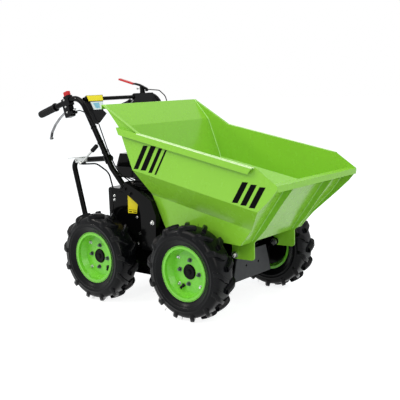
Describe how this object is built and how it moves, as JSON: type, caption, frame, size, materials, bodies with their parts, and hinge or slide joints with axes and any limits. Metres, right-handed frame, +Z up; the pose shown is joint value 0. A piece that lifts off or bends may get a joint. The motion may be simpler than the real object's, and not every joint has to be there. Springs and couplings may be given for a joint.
{
  "type": "site dumper",
  "caption": "Walk-behind four-wheel site dumper: a folded-sheet skip that tips forward over a flat chassis with an engine at the rear and a tall handlebar.",
  "frame": {"origin": "on the ground under the middle of the overall box, midway between the wheels of each axle", "axes": "+X forward towards the pouring lip, +Y the machine's left, +Z up"},
  "size_m": [1.3792, 0.716, 0.988],
  "materials": {
    "green_paint": "gloss",
    "rim_paint": "gloss",
    "black_paint": "satin",
    "grey_paint": "satin",
    "tyre_rubber": "matt",
    "grip_rubber": "matt",
    "black_plastic": "matt",
    "red_plastic": "gloss",
    "zinc": "satin",
    "engine_metal": "matt",
    "exhaust_steel": "matt"
  },
  "bodies": {
    "chassis": {"air_filter": "black_plastic", "belly_plate": "black_paint", "belt_cover": "black_paint", "crossbar": "black_paint", "dash_panel": "black_plastic", "deck_plate": "black_paint", "drive_cable": "black_plastic", "drive_lever": "black_paint", "drive_lever_grip": "red_plastic", "engine_block": "engine_metal", "frame_side_left": "black_paint", "frame_side_right": "black_paint", "front_axle": "black_paint", "front_plate": "grey_paint", "fuel_tank": "black_paint", "grip_left": "grip_rubber", "grip_right": "grip_rubber", "guard_left": "black_paint", "guard_right": "black_paint", "handle_left": "black_paint", "handle_right": "black_paint", "hinge_bolts": "zinc", "knee_panel": "black_plastic", "lever_clamp": "black_paint", "muffler": "exhaust_steel", "rear_axle": "black_paint", "rear_beam": "black_paint", "rear_plate": "black_paint", "recoil_starter": "black_plastic", "shift_bracket": "zinc", "shift_cable": "black_plastic", "shift_gate": "zinc", "shift_knob": "black_plastic", "shift_lever": "zinc", "skip_pads": "grip_rubber", "squeeze_lever": "black_paint", "stop_switch": "red_plastic", "switch_cable": "black_plastic", "throttle_cable": "black_plastic", "throttle_housing": "black_plastic", "upright_left": "black_paint", "upright_right": "black_paint"},
    "skip": {"skip_middle": "green_paint", "skip_side_left": "green_paint", "skip_side_right": "green_paint", "skip_ribs": "green_paint"},
    "wheel_front_left": {"tyre_front_left": "tyre_rubber", "rim_front_left": "rim_paint", "hub_front_left": "black_paint"},
    "wheel_front_right": {"tyre_front_right": "tyre_rubber", "rim_front_right": "rim_paint", "hub_front_right": "black_paint"},
    "wheel_rear_left": {"tyre_rear_left": "tyre_rubber", "rim_rear_left": "rim_paint", "hub_rear_left": "black_paint"},
    "wheel_rear_right": {"tyre_rear_right": "tyre_rubber", "rim_rear_right": "rim_paint", "hub_rear_right": "black_paint"}
  },
  "joints": [
    {"name": "skip_tip", "type": "hinge", "parent": "chassis", "child": "skip", "pos_m": [0.383, 0, 0.256], "axis": [0, 1, 0], "range_deg": [0, 75]},
    {"name": "front_left_spin", "type": "hinge", "parent": "chassis", "child": "wheel_front_left", "pos_m": [0.263, 0.302, 0.2], "axis": [0, 1, 0], "continuous": true},
    {"name": "front_right_spin", "type": "hinge", "parent": "chassis", "child": "wheel_front_right", "pos_m": [0.263, -0.302, 0.2], "axis": [0, 1, 0], "continuous": true},
    {"name": "rear_left_spin", "type": "hinge", "parent": "chassis", "child": "wheel_rear_left", "pos_m": [-0.263, 0.302, 0.2], "axis": [0, 1, 0], "continuous": true},
    {"name": "rear_right_spin", "type": "hinge", "parent": "chassis", "child": "wheel_rear_right", "pos_m": [-0.263, -0.302, 0.2], "axis": [0, 1, 0], "continuous": true}
  ]
}
